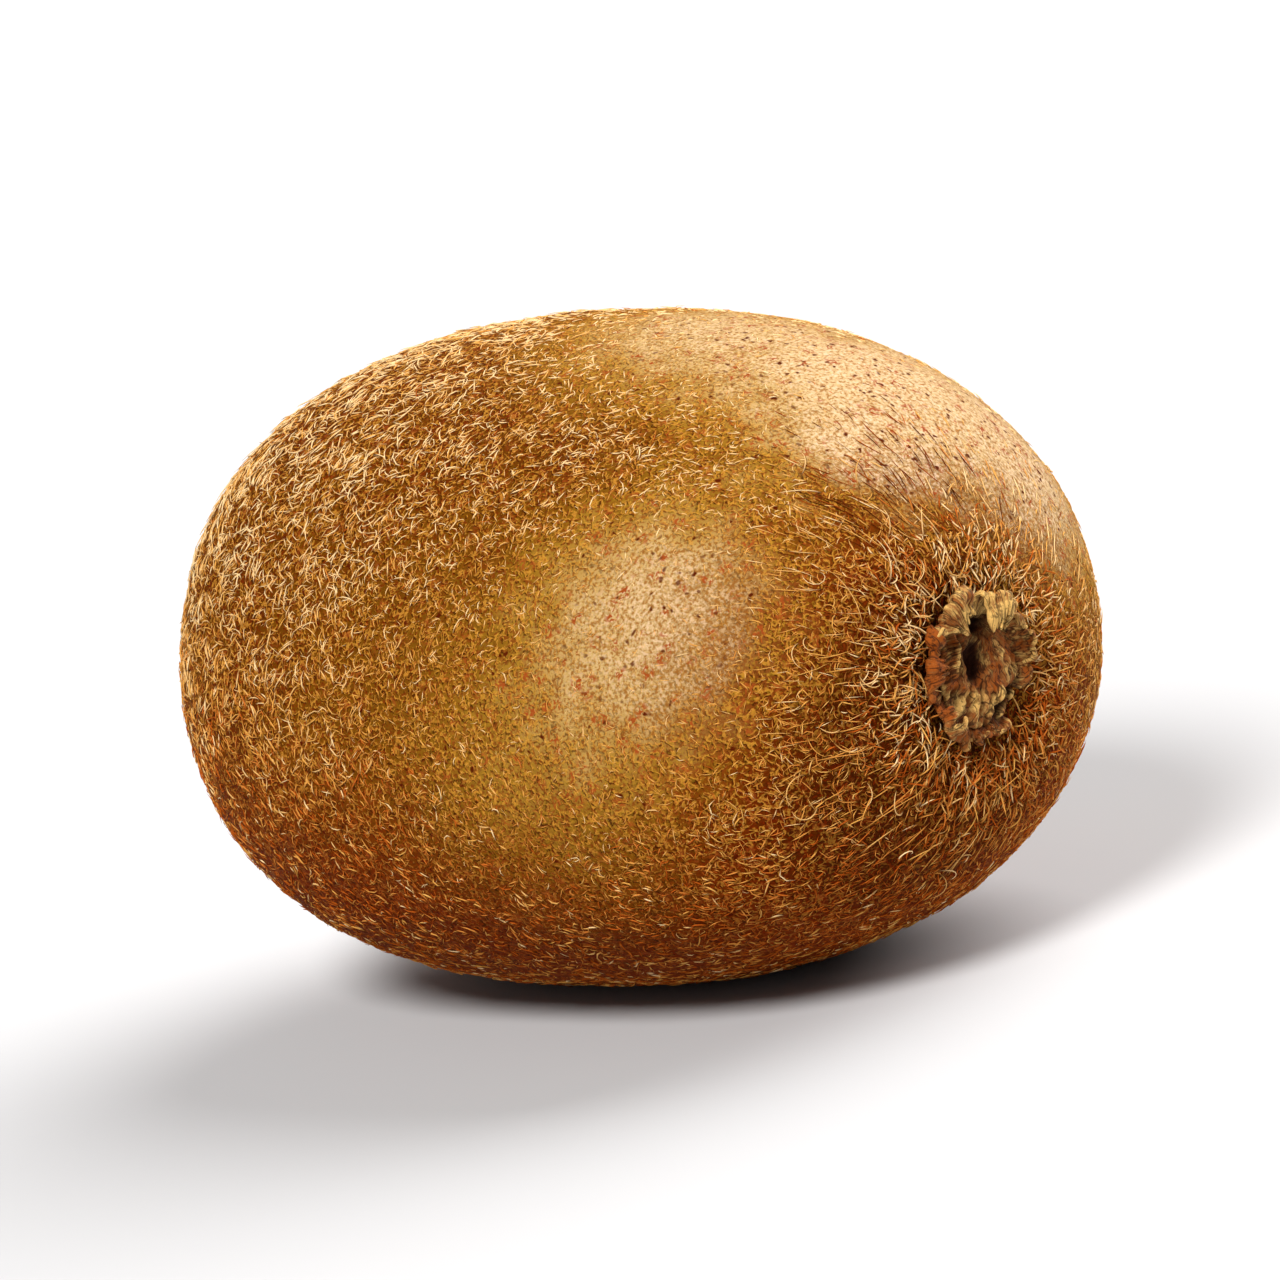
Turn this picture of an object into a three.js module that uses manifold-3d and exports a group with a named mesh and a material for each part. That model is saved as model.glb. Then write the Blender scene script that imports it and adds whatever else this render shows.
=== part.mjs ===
// A kiwi fruit, lying on its side: the fruit itself, the dried calyx on its stem end and the
// dried style remains on its blossom end. Millimetres, +Z up.
//
// The fruit's long axis runs along X with the stem end at +X. The origin is at the middle of
// the underside of the whole object's box, so the fruit stands on Z = 0 on a small flat spot.

import * as THREE from "three";
import { mergeVertices } from "three/addons/utils/BufferGeometryUtils.js";
import Module from "manifold-3d";

// ---- Driving dimensions -----------------------------------------------------------------

const STEM_HALF = 36.0; // widest ring to the blunt stem end
const BLOSSOM_HALF = 33.6; // widest ring to the blossom end
const WIDTH = 53.6; // side to side, across the fruit as it lies
const THICKNESS = 45.4; // from the surface it lies on to its top

// Each half's profile is (x / half)^along + (r / radius)^across = 1: the higher the powers,
// the fuller the shoulder and the blunter the end.
const STEM_POWERS = { along: 2.4, across: 2.74 };
const BLOSSOM_POWERS = { along: 2.5, across: 2.6 };

const STEM_LEAN = -3.6; // how far the stem end stands off the long axis, along Y
const ACROSS = new THREE.Vector3(0, 1, 0);
const LIE = THREE.MathUtils.degToRad(1.8); // how far the stem end dips as the fruit lies

// The slow swells and flats of a grown fruit: each has this many lobes round the fruit, this
// depth in millimetres, and turns by this many radians from the widest ring to the stem end.
const SWELLS = [
  { lobes: 2, depth: 0.7, start: -0.7, twist: 1.4 },
  { lobes: 3, depth: 0.45, start: 3.1, twist: 1.1 },
  { lobes: 5, depth: 0.08, start: 2.0, twist: -1.7 },
];

const PIT_DEPTH = 2.1; // the hollow that the calyx sits in
const PIT_RADIUS = 5.6;
const DIMPLE_DEPTH = 0.7; // the smaller hollow round the style remains
const DIMPLE_RADIUS = 3.4;
const FLAT_DEPTH = 0.45; // how much of the underside the flat spot takes off

const SKIN_RINGS = 46;
const SKIN_SIDES = 72;

const SEAT_GAP = 0.3; // between the fruit and what sits on its ends
const SCAR_RADIUS = 3.7;
const SEPAL_THICKNESS = 0.6;
const STYLE_COUNT = 13;
const STYLE_SEED = 7;
const STYLE_RADIUS = 0.42;

// ---- Materials --------------------------------------------------------------------------

const skinFinish = new THREE.MeshStandardMaterial({ color: 0x9a6a34, roughness: 0.85, metalness: 0 });
const sepalFinish = new THREE.MeshStandardMaterial({ color: 0x8a6238, roughness: 0.9, metalness: 0 });
const styleFinish = new THREE.MeshStandardMaterial({ color: 0x3f2a1a, roughness: 0.9, metalness: 0 });

// ---- Joining and cutting ----------------------------------------------------------------

const wasm = await Module();
wasm.setup();

function solidFrom(geometry) {
  const bare = geometry.clone();
  bare.deleteAttribute("normal");
  bare.deleteAttribute("uv");
  const merged = mergeVertices(bare, 1e-4);
  return new wasm.Manifold(
    new wasm.Mesh({
      numProp: 3,
      vertProperties: merged.attributes.position.array,
      triVerts: new Uint32Array(merged.index.array),
    }),
  );
}

function geometryFrom(solid) {
  const mesh = solid.getMesh();
  const geometry = new THREE.BufferGeometry();
  geometry.setAttribute("position", new THREE.BufferAttribute(mesh.vertProperties, 3));
  geometry.setIndex(new THREE.BufferAttribute(mesh.triVerts, 1));
  geometry.computeVertexNormals();
  return geometry;
}

function joined(geometries) {
  const solids = geometries.map(solidFrom);
  return geometryFrom(solids.reduce((whole, next) => whole.add(next)));
}

// ---- The fruit --------------------------------------------------------------------------

// The outline from the stem pole to the blossom pole, as equally spaced points (x, radius),
// with the radius as a share of the widest ring's.
function profile() {
  const radius = (WIDTH + THICKNESS) / 4;
  const points = [];
  const fine = 400;
  for (let i = 0; i <= fine; i++) {
    const turn = (Math.PI * i) / fine;
    const onStemHalf = turn <= Math.PI / 2;
    const powers = onStemHalf ? STEM_POWERS : BLOSSOM_POWERS;
    const half = onStemHalf ? STEM_HALF : -BLOSSOM_HALF;
    const x = half * Math.abs(Math.cos(turn)) ** (2 / powers.along);
    const r = radius * Math.abs(Math.sin(turn)) ** (2 / powers.across);
    points.push(new THREE.Vector2(x, r));
  }
  const spaced = new THREE.SplineCurve(points);
  spaced.arcLengthDivisions = 4 * fine;
  return spaced.getSpacedPoints(SKIN_RINGS).map((p) => ({ x: p.x, share: Math.max(p.y, 0) / radius }));
}

function swell(x, angle) {
  return SWELLS.reduce(
    (sum, { lobes, depth, start, twist }) =>
      sum + depth * Math.sin(lobes * angle + start + (twist * x) / STEM_HALF),
    0,
  );
}

// How far an end is sunk at this distance from its middle.
function hollow(distance, depth, radius) {
  return depth * Math.exp(-((distance / radius) ** 2));
}

function skinPoint(x, share, angle) {
  const fullness = swell(x, angle) * share;
  const y = ((WIDTH / 2) * share + fullness) * Math.cos(angle);
  const z = ((THICKNESS / 2) * share + fullness) * Math.sin(angle);
  const distance = Math.hypot(y, z);
  const lean = Math.max(x / STEM_HALF, 0) ** 2;
  const sunk =
    x > 0 ? -hollow(distance, PIT_DEPTH, PIT_RADIUS) : hollow(distance, DIMPLE_DEPTH, DIMPLE_RADIUS);
  return new THREE.Vector3(x + sunk, y + STEM_LEAN * lean, z).applyAxisAngle(ACROSS, LIE);
}

function fruitGeometry() {
  const rings = profile();
  const positions = [];
  const faces = [];
  positions.push(...skinPoint(rings[0].x, 0, 0).toArray());
  for (const { x, share } of rings.slice(1, -1)) {
    for (let side = 0; side < SKIN_SIDES; side++) {
      positions.push(...skinPoint(x, share, (2 * Math.PI * side) / SKIN_SIDES).toArray());
    }
  }
  positions.push(...skinPoint(rings.at(-1).x, 0, 0).toArray());

  const at = (ring, side) => 1 + (ring - 1) * SKIN_SIDES + (side % SKIN_SIDES);
  const lastRing = rings.length - 2;
  const blossomPole = positions.length / 3 - 1;
  for (let side = 0; side < SKIN_SIDES; side++) {
    faces.push(0, at(1, side), at(1, side + 1));
    for (let ring = 1; ring < lastRing; ring++) {
      faces.push(at(ring, side), at(ring + 1, side), at(ring + 1, side + 1));
      faces.push(at(ring, side), at(ring + 1, side + 1), at(ring, side + 1));
    }
    faces.push(at(lastRing, side), blossomPole, at(lastRing, side + 1));
  }
  const geometry = new THREE.BufferGeometry();
  geometry.setAttribute("position", new THREE.Float32BufferAttribute(positions, 3));
  geometry.setIndex(faces);
  return geometry;
}

// The flat spot is a level cut across the lowest part of the underside.
function restingFruit() {
  const whole = fruitGeometry();
  whole.computeBoundingBox();
  const slabSide = 2 * WIDTH;
  const slab = new THREE.BoxGeometry(slabSide, slabSide, slabSide);
  slab.translate(0, 0, whole.boundingBox.min.z + FLAT_DEPTH - slabSide / 2);
  return geometryFrom(solidFrom(whole).subtract(solidFrom(slab)));
}

// ---- Thin dried pieces ------------------------------------------------------------------

// A closed sheet of even thickness whose middle surface is pointAt(u, v), u and v from 0 to 1.
function sheet(pointAt, thickness, across, along) {
  const positions = [];
  const faces = [];
  const step = 1e-3;
  for (const side of [1, -1]) {
    for (let j = 0; j <= along; j++) {
      for (let i = 0; i <= across; i++) {
        const u = i / across;
        const v = j / along;
        const alongU = pointAt(u + step, v).sub(pointAt(u - step, v));
        const alongV = pointAt(u, v + step).sub(pointAt(u, Math.max(v - step, 0)));
        const normal = alongU.cross(alongV).normalize();
        positions.push(...pointAt(u, v).addScaledVector(normal, (side * thickness) / 2).toArray());
      }
    }
  }
  const row = across + 1;
  const layer = row * (along + 1);
  for (let j = 0; j < along; j++) {
    for (let i = 0; i < across; i++) {
      const a = j * row + i;
      const [b, c, d] = [a + 1, a + row + 1, a + row];
      faces.push(a, b, c, a, c, d);
      faces.push(layer + a, layer + c, layer + b, layer + a, layer + d, layer + c);
    }
  }
  const wall = (a, b) => faces.push(a, layer + a, layer + b, a, layer + b, b);
  for (let i = 0; i < across; i++) {
    wall(i, i + 1);
    wall(along * row + i + 1, along * row + i);
  }
  for (let j = 0; j < along; j++) {
    wall(j * row + across, (j + 1) * row + across);
    wall((j + 1) * row, j * row);
  }
  const geometry = new THREE.BufferGeometry();
  geometry.setAttribute("position", new THREE.Float32BufferAttribute(positions, 3));
  geometry.setIndex(faces);
  return geometry;
}

// A closed stalk along a curve, as thick as radiusAt(t) says from its root to its tip.
function stalk(curve, radiusAt, sides, steps) {
  const frames = curve.computeFrenetFrames(steps, false);
  const positions = [];
  const faces = [];
  for (let j = 0; j <= steps; j++) {
    const centre = curve.getPoint(j / steps);
    for (let i = 0; i < sides; i++) {
      const angle = (2 * Math.PI * i) / sides;
      const out = frames.normals[j].clone().multiplyScalar(Math.cos(angle));
      out.addScaledVector(frames.binormals[j], Math.sin(angle));
      positions.push(...centre.clone().addScaledVector(out, radiusAt(j / steps)).toArray());
    }
  }
  for (let i = 0; i < sides; i++) {
    const next = (i + 1) % sides;
    for (let j = 0; j < steps; j++) {
      const [a, b] = [j * sides + i, j * sides + next];
      faces.push(a, b, b + sides, a, b + sides, a + sides);
    }
    if (i > 0 && next > 0) {
      faces.push(0, next, i);
      faces.push(steps * sides, steps * sides + i, steps * sides + next);
    }
  }
  const geometry = new THREE.BufferGeometry();
  geometry.setAttribute("position", new THREE.Float32BufferAttribute(positions, 3));
  geometry.setIndex(faces);
  return geometry;
}

// A round piece, turned from points (radius, height) and standing up along +X.
function turned(points, sides) {
  const lathe = new THREE.LatheGeometry(points.map(([r, h]) => new THREE.Vector2(r, h)), sides);
  return lathe.rotateZ(-Math.PI / 2);
}

// ---- The calyx --------------------------------------------------------------------------

// Its frame: the middle of the pit's floor at the origin and +X out of the fruit. A point is
// given by its turn round X, its distance from X and its height above the pit's floor.
function roundX(turn, distance, height) {
  return new THREE.Vector3(height, distance * Math.cos(turn), distance * Math.sin(turn));
}

function pitFloor(distance) {
  return PIT_DEPTH - hollow(distance, PIT_DEPTH, PIT_RADIUS);
}

// The scar that the stalk broke from, in section: a corky rim round a hollow with the stalk's
// stub in it. Its underside follows the pit's floor.
const SCAR_SECTION = [
  [0.0, SEAT_GAP],
  [1.4, pitFloor(1.4) + SEAT_GAP],
  [2.7, pitFloor(2.7) + SEAT_GAP],
  [SCAR_RADIUS + 0.3, pitFloor(SCAR_RADIUS + 0.3) + SEAT_GAP],
  [SCAR_RADIUS + 0.2, 1.65],
  [SCAR_RADIUS - 0.2, 2.1],
  [SCAR_RADIUS - 0.9, 2.0],
  [SCAR_RADIUS - 1.6, 1.75],
  [1.6, 1.6],
  [1.35, 1.0],
  [1.05, 0.8],
  [0.85, 1.35],
  [0.4, 1.6],
  [0.0, 1.5],
];
const SCAR_SIDES = 44;
const HOLLOW_SHIFT = -0.8; // how far the hollow lies off the scar's middle, along Y
const RIM_WAVER = 0.05; // how far the rim strays from round, as a share of its radius
const FIBRES = { count: 11, height: 0.12 }; // the ridges that run out from the hollow

// What is above the seat is made uneven, and the underside stays as turned.
function scar() {
  const geometry = turned(SCAR_SECTION, SCAR_SIDES);
  const position = geometry.attributes.position;
  for (let i = 0; i < position.count; i++) {
    const [x, y, z] = [position.getX(i), position.getY(i), position.getZ(i)];
    const turn = Math.atan2(z, y);
    const share = Math.hypot(y, z) / SCAR_RADIUS;
    const above = THREE.MathUtils.smoothstep(x, 0.7, 1.5);
    const waver = RIM_WAVER * (Math.sin(2 * turn + 0.6) + Math.sin(5 * turn));
    const round = 1 + above * share * waver;
    const ridge = FIBRES.height * Math.sin(FIBRES.count * turn) * Math.sin(Math.PI * Math.min(share, 1));
    const shift = HOLLOW_SHIFT * Math.max(1 - share ** 2, 0);
    position.setXYZ(i, x + above * ridge, y * round + above * shift, z * round);
  }
  return geometry;
}

// The five sepals, dried and pressed round the scar like a torn collar. turn: where each grows
// and spread: half its width, in degrees. reach: how far it stands out from its root, rise: how
// far up from it, curl: how far its tip bends in over the scar, all in millimetres. wave: the
// depth of its crumples. start: where they begin.
const SEPALS = [
  { turn: 52, spread: 36, reach: 1.2, rise: 2.0, curl: 1.9, wave: 0.3, start: 0.4 },
  { turn: 124, spread: 37, reach: 1.9, rise: 2.1, curl: 1.8, wave: 0.34, start: 2.1 },
  { turn: 190, spread: 43, reach: 2.2, rise: 1.6, curl: 0.8, wave: 0.16, start: 4.0 },
  { turn: 262, spread: 38, reach: 1.7, rise: 1.7, curl: 1.3, wave: 0.26, start: 1.2 },
  { turn: 338, spread: 47, reach: 2.1, rise: 1.4, curl: 0.4, wave: 0.2, start: 5.3 },
];
const SEPAL_ROOT = { distance: SCAR_RADIUS - 0.1, height: 1.0 };
const SEPAL_TAPER = 0.12; // how much narrower a sepal gets evenly, as a share of its width
const TIP_TAPER = 0.3; // and how much more towards its tip
const EDGE_WAVER = 0.05; // how far its side edges stray
const CORNER_TEAR = 0.16; // the share of its length that is torn off towards its corners
const STANDS_OUT_BY = 2 / 3; // the share of its length in which it reaches right out
const CURLS_FROM = 0.45; // and the share past which its tip bends in
const EDGE_DROOP = 0.25; // how much lower its side edges lie than its middle

function sepal({ turn, spread, reach, rise, curl, wave, start }) {
  // u runs across the sepal, and v from its root to its tip.
  const pointAt = (u, v) => {
    const side = 2 * u - 1;
    const width = 1 - SEPAL_TAPER * v - TIP_TAPER * v ** 4 + EDGE_WAVER * Math.sin(8 * v + start);
    const direction = THREE.MathUtils.degToRad(turn + spread * side * width);
    const length = v * (1 - CORNER_TEAR * side ** 2 * (1 + Math.sin(4.6 * side + start)));
    const outward = reach * Math.sin((Math.PI / 2) * Math.min(length / STANDS_OUT_BY, 1));
    const inward = curl * (Math.max(length - CURLS_FROM, 0) / (1 - CURLS_FROM)) ** 2;
    const crumple = wave * v * Math.sin(3.4 * side + 2 * v + start);
    const height = rise * Math.sin((Math.PI / 2) * length) - EDGE_DROOP * side ** 2 * v;
    const distance = SEPAL_ROOT.distance + outward - inward + crumple;
    return roundX(direction, distance, SEPAL_ROOT.height + height + crumple / 2);
  };
  return sheet(pointAt, SEPAL_THICKNESS, 11, 8);
}

// ---- The style remains ------------------------------------------------------------------

// Its frame: the middle of the dimple's floor at the origin and +X out of the fruit. The knob
// that the styles grew from, in section:
const KNOB_SECTION = [
  [0, SEAT_GAP],
  [1.7, SEAT_GAP + 0.12],
  [1.9, 0.75],
  [1.3, 1.2],
  [0, 1.35],
];
const KNOB_SIDES = 20;
const STYLE_ROOT = { distance: 0.4, height: 0.7 };
const SHORTEST_STYLE = 1.8;
const LONGEST_STYLE = 4.2;
const STYLE_BEND = 1.1; // how far round the knob a style may swing, in radians
const STYLE_TAPER = 0.25; // how much thinner its tip is, as a share of its root's radius

// The dried styles lie every way out of the knob, and the shorter ones stand up more.
function style(index, chance) {
  const turn = (2 * Math.PI * (index + 0.7 * chance())) / STYLE_COUNT;
  const length = SHORTEST_STYLE + (LONGEST_STYLE - SHORTEST_STYLE) * chance();
  const lift = 2.3 - 0.28 * length + 0.3 * chance();
  const bend = STYLE_BEND * (chance() - 0.5);
  const along = (share, height) =>
    roundX(turn + bend * share ** 1.6, STYLE_ROOT.distance + length * share, height);
  const curve = new THREE.CatmullRomCurve3([
    along(0, STYLE_ROOT.height),
    along(0.35, 0.55 * lift + 0.6),
    along(0.7, lift + 0.25),
    along(1, lift - 0.1),
  ]);
  return stalk(curve, (t) => STYLE_RADIUS * (1 - STYLE_TAPER * t), 5, 6);
}

// A repeatable run of numbers from 0 to 1, for the small differences between like pieces.
function chanceFrom(seed) {
  const range = 2 ** 32;
  let state = seed;
  return () => {
    state = (1664525 * state + 1013904223) % range;
    return state / range;
  };
}

// ---- Assembly ---------------------------------------------------------------------------

function named(name, geometry, material) {
  const mesh = new THREE.Mesh(geometry, material);
  mesh.name = name;
  return mesh;
}

const object = new THREE.Group();
object.add(named("fruit", restingFruit(), skinFinish));

const stemEnd = new THREE.Group();
stemEnd.position.copy(skinPoint(STEM_HALF, 0, 0));
stemEnd.rotation.y = LIE;
stemEnd.add(named("calyx", joined([scar(), ...SEPALS.map(sepal)]), sepalFinish));
object.add(stemEnd);

const blossomEnd = new THREE.Group();
blossomEnd.position.copy(skinPoint(-BLOSSOM_HALF, 0, 0));
blossomEnd.rotation.set(0, LIE, Math.PI);
const chance = chanceFrom(STYLE_SEED);
const styles = Array.from({ length: STYLE_COUNT }, (_, index) => style(index, chance));
blossomEnd.add(named("style_remains", joined([turned(KNOB_SECTION, KNOB_SIDES), ...styles]), styleFinish));
object.add(blossomEnd);

const box = new THREE.Box3().setFromObject(object, true);
const middle = box.getCenter(new THREE.Vector3());
object.position.set(-middle.x, -middle.y, -box.min.z);

export default object;
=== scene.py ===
"""A kiwi fruit with its skin, its hairs, its dried calyx and its dried style remains.

The fruit lies along X with the stem end at +X and stands on Z = 0. Lengths are in metres, except
where a comment says millimetres.
"""

import math

import bpy
import numpy as np
from bpy.props import FloatProperty, FloatVectorProperty, IntProperty, PointerProperty
from mathutils import Matrix, Quaternion, Vector


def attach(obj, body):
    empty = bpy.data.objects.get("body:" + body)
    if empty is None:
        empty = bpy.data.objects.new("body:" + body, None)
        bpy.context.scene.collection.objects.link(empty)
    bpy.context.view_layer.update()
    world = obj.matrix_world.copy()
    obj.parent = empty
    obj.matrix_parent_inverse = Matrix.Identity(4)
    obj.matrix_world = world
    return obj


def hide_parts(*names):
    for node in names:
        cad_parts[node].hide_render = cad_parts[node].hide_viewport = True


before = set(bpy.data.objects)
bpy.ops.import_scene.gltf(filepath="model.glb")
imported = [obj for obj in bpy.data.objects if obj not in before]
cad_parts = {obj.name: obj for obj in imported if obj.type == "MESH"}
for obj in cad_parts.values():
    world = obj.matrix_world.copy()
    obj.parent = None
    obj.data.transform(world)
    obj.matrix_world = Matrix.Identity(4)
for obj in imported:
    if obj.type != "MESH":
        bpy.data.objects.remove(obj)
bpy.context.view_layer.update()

bl_info = {
    "name": "Kiwi fruit",
    "version": (1, 0, 0),
    "blender": (4, 5, 0),
    "location": "3D View > Sidebar > Kiwi fruit",
    "description": "Dresses a kiwi fruit's solids in skin, hairs, a dried calyx and dried styles",
    "category": "Add Mesh",
}

MM = 0.001

# ---- Where things are on the fruit ----

LIE = math.radians(1.8)  # how far the stem end dips as the fruit lies
OUT_OF_STEM = Vector((math.cos(LIE), 0.0, -math.sin(LIE)))
# The middles of the two hollows' floors, where the calyx and the style remains sit.
STEM_SEAT = Vector((32.856, -3.527, 21.214)) * MM
BLOSSOM_SEAT = Vector((-33.911, 0.073, 23.312)) * MM
# An end's own frame: X out of the fruit, and turns round X counted from Y.
STEM_FRAME = Matrix.Translation(STEM_SEAT) @ Matrix.Rotation(LIE, 4, "Y")
BLOSSOM_FRAME = (
    Matrix.Translation(BLOSSOM_SEAT) @ Matrix.Rotation(LIE, 4, "Y") @ Matrix.Rotation(math.pi, 4, "Z")
)
# The painted shade on the lower flank reaches higher towards the blossom end.
UP_THE_FLANK = (0.2, 0.0, 1.0)  # the red of the lower flank reaches higher towards the blossom end
# The painted shade on the skin at the stem end is round this place.
UNDER_STEM = STEM_SEAT + Vector((-1, -4.5, -4)) * MM  # the middle of the dark skin at the stem end
STREAKED = Vector((28.4, -5.6, 37.0)) * MM  # the middle of the dark combed hairs
FLOOR_GAP = 0.03 * MM  # the least height of a hair over what the fruit lies on
ROOT_DEPTH = 0.06 * MM  # how far under the skin a hair starts
THINNED = 0.55  # the share of a hair's thickness that is gone just before its point
STYLE_SEED = 5
AIM = Vector((0.0, 0.0, 23.0)) * MM  # what the camera looks at

# Where the fruit has been rubbed: the middle of the patch and its radius, both in millimetres,
# then the share of its hair that is lost there and how far the skin has paled. The paling is partly
# painted highlight: on the front flank, the top and the shoulder by the stem end it pales the skin
# where the lights' glow and sheen fall.
RUBBED_AND_HIGHLIT = (
    ((22.8, -20.6, 29.9), 9.6, 0.82, 0.82),
    ((14.5, -23.2, 27.5), 11.0, 0.33, 0.14),
    ((13.0, -24.0, 19.5), 9.5, 0.3, 0.26),
    ((1.0, -25.0, 26.0), 12.0, 0.2, 0.06),
    ((24.0, 3.0, 41.0), 12.0, 0.92, 0.96),
    ((30.5, 10.0, 32.5), 10.5, 0.96, 0.96),
    ((27.6, -4.6, 37.6), 4.5, 0.85, 0.7),
    ((30.2, -2.8, 35.2), 4.5, 0.7, 0.75),
    ((10.0, 2.0, 45.0), 10.0, 0.55, 0.78),
    ((-6.0, 20.0, 37.0), 9.0, 0.6, 0.4),
    ((8.0, 24.0, 14.0), 7.0, 0.6, 0.3),
    ((0.0, 0.0, 0.0), 10.0, 0.7, 0.1),
)
LOST, PALED_AND_HIGHLIT = 0, 1  # the places of the two shares


# ---- Numbers ----


def linear(code):
    """A colour such as C08040, as the linear numbers that a shader takes."""
    parts = [int(code[i : i + 2], 16) / 255 for i in (0, 2, 4)]
    return tuple(c / 12.92 if c <= 0.04045 else ((c + 0.055) / 1.055) ** 2.4 for c in parts)


def unit(vectors):
    return vectors / np.maximum(np.linalg.norm(vectors, axis=-1, keepdims=True), 1e-12)


def ease(low, high, value):
    """0 where the value is at low or past it, 1 at high, and a smooth run between."""
    share = np.clip((value - low) / (high - low), 0, 1)
    return share * share * (3 - 2 * share)


def ripples(points, size, seed, waves=14):
    """A smooth random number, about -1 to 1, at each point, which changes over this size."""
    chance = np.random.default_rng(seed)
    ways = unit(chance.normal(size=(waves, 3))) * chance.uniform(0.6, 1.4, (waves, 1))
    starts = chance.uniform(0, 2 * np.pi, waves)
    return np.sin(points @ ways.T * (2 * np.pi / size) + starts).sum(1) / math.sqrt(waves)


def read(items, name):
    """One vector from each item, such as each point's place."""
    found = np.empty(len(items) * 3, np.float32)
    items.foreach_get(name, found)
    return found.reshape(-1, 3).astype(float)


def write(items, name, values, kind=np.float32):
    items.foreach_set(name, np.asarray(values, kind).ravel())


# ---- Modelling ----


def deselect_all():
    if bpy.context.mode != "OBJECT":
        bpy.ops.object.mode_set(mode="OBJECT")
    bpy.ops.object.select_all(action="DESELECT")


def hold(piece):
    """Makes the piece the only selected one, and the active one."""
    deselect_all()
    piece.select_set(True)
    bpy.context.view_layer.objects.active = piece


def edit(piece):
    hold(piece)
    bpy.ops.object.mode_set(mode="EDIT")
    bpy.ops.mesh.select_all(action="SELECT")


def add_object(name, data):
    made = bpy.data.objects.new(name, data)
    bpy.context.scene.collection.objects.link(made)
    return made


def begin(make, **shape):
    """A new piece, begun as one of Blender's plain shapes."""
    deselect_all()
    make(**shape)
    return bpy.context.active_object


def cut(piece, steps, along):
    """Cuts a piece that is one unit long into even steps along this way."""
    for step in range(1, steps):
        edit(piece)
        bpy.ops.mesh.bisect(plane_co=[step / steps * part for part in along], plane_no=along)
    deselect_all()


def refine(piece):
    """Rounds the piece with finer faces, after any other modifiers that it has."""
    hold(piece)
    finer = piece.modifiers.new("finer", "SUBSURF")
    finer.levels = finer.render_levels = 1
    for modifier in list(piece.modifiers):
        bpy.ops.object.modifier_apply(modifier=modifier.name)


def settle(piece):
    """Puts the piece's place into its mesh, and leaves its object at the origin."""
    hold(piece)
    bpy.ops.object.transform_apply(location=True, rotation=True, scale=True)


def tidy_normals(piece):
    edit(piece)
    bpy.ops.mesh.remove_doubles(threshold=1e-7)
    bpy.ops.mesh.normals_make_consistent(inside=False)
    bpy.ops.object.mode_set(mode="OBJECT")


def join(pieces, name):
    """One smooth piece made of all of these, its object at the origin."""
    hold(pieces[0])
    for piece in pieces:
        piece.select_set(True)
    bpy.ops.object.join()
    whole = bpy.context.view_layer.objects.active
    whole.name = whole.data.name = name
    settle(whole)
    bpy.ops.object.shade_smooth()
    return whole


def points_of(piece):
    return read(piece.data.vertices, "co")


def normals_of(piece):
    return read(piece.data.vertex_normals, "vector")


def place_points(piece, points):
    write(piece.data.vertices, "co", points)
    piece.data.update()


def carry(piece, **values):
    """Gives each of the piece's points these numbers or vectors."""
    for name, numbers in values.items():
        kind, field = ("FLOAT_VECTOR", "vector") if np.ndim(numbers) == 2 else ("FLOAT", "value")
        write(piece.data.attributes.new(name, kind, "POINT").data, field, numbers)


def finish_piece(piece, material, slot, *nodes):
    """Gives a finished piece its material, its body and the solids that it stands for. Its slot is not
    used.
    """
    piece.data.materials.clear()
    piece.data.materials.append(material)
    hold(piece)
    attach(piece, "root")
    if nodes:
        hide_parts(*nodes)
    deselect_all()


# ---- Materials ----


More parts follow.
